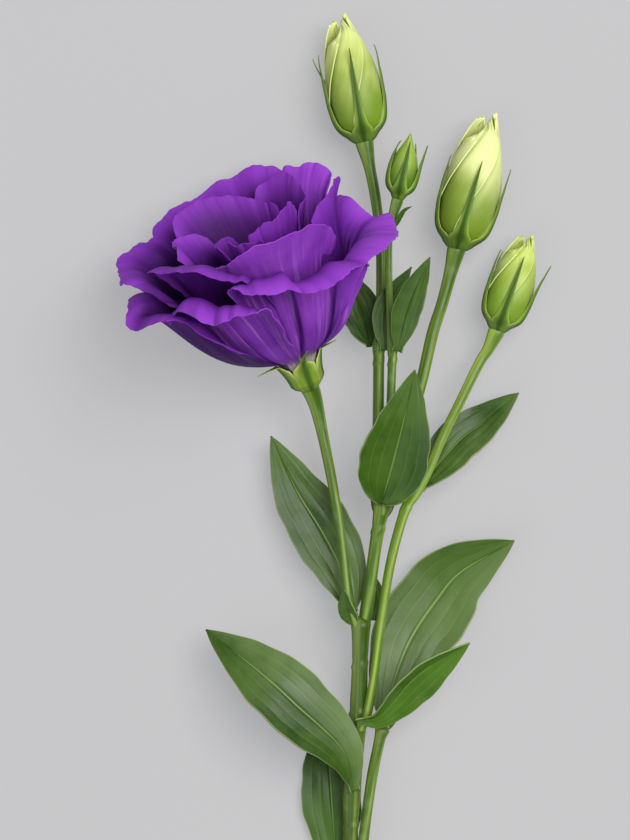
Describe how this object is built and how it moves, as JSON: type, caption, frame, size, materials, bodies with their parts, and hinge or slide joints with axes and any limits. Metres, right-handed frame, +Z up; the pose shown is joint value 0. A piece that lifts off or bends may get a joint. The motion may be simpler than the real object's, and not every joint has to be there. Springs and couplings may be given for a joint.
{
  "type": "cut flower spray",
  "caption": "Cut lisianthus spray lying on a surface: a forked green stem with paired leaves, an open double purple flower and closed pale green buds.",
  "frame": {"origin": "under the middle of the whole spray's box, on the surface it lies on", "axes": "+Z up from the surface, +Y along the stem from its cut end towards the top bud, +X to the right when seen from above with the buds at the top"},
  "size_m": [0.1168, 0.2824, 0.0612],
  "materials": {
    "stem_green": "fresh green stem, slightly waxy",
    "leaf_green": "fresh leaf with a soft waxy sheen",
    "bud_green": "pale green closed petal, satin",
    "petal_purple": "soft violet petal"
  },
  "bodies": {
    "root": {"bract_small_bud": "leaf_green", "flower_calyx": "stem_green", "flower_stalk": "stem_green", "fork_stem": "stem_green", "large_bud_calyx": "stem_green", "large_bud_petal_1": "bud_green", "large_bud_petal_2": "bud_green", "large_bud_petal_3": "bud_green", "large_bud_petal_4": "bud_green", "large_bud_petal_5": "bud_green", "large_bud_stalk": "stem_green", "leaf_axil_small": "leaf_green", "leaf_behind_flower": "leaf_green", "leaf_behind_stalk": "leaf_green", "leaf_fork_behind": "leaf_green", "leaf_fork_front": "leaf_green", "leaf_lower_behind": "leaf_green", "leaf_lower_left": "leaf_green", "leaf_right_folded": "leaf_green", "leaf_right_large": "leaf_green", "leaf_side_shoot": "leaf_green", "leaf_small_bud_front": "leaf_green", "leaf_small_bud_left": "leaf_green", "lower_shoot": "stem_green", "main_stem": "stem_green", "petal_inner_1": "petal_purple", "petal_inner_2": "petal_purple", "petal_inner_3": "petal_purple", "petal_inner_4": "petal_purple", "petal_inner_5": "petal_purple", "petal_middle_1": "petal_purple", "petal_middle_2": "petal_purple", "petal_middle_3": "petal_purple", "petal_middle_4": "petal_purple", "petal_middle_5": "petal_purple", "petal_outer_1": "petal_purple", "petal_outer_2": "petal_purple", "petal_outer_3": "petal_purple", "petal_outer_4": "petal_purple", "petal_outer_5": "petal_purple", "petal_outer_6": "petal_purple", "side_bud_calyx": "stem_green", "side_bud_petal_1": "bud_green", "side_bud_petal_2": "bud_green", "side_bud_petal_3": "bud_green", "side_bud_petal_4": "bud_green", "side_bud_petal_5": "bud_green", "side_bud_stalk": "stem_green", "small_bud": "stem_green", "small_bud_calyx": "stem_green", "small_bud_stalk": "stem_green", "top_bud_calyx": "stem_green", "top_bud_petal_1": "bud_green", "top_bud_petal_2": "bud_green", "top_bud_petal_3": "bud_green", "top_bud_petal_4": "bud_green", "top_bud_petal_5": "bud_green", "top_bud_stalk": "stem_green"}
  },
  "joints": []
}
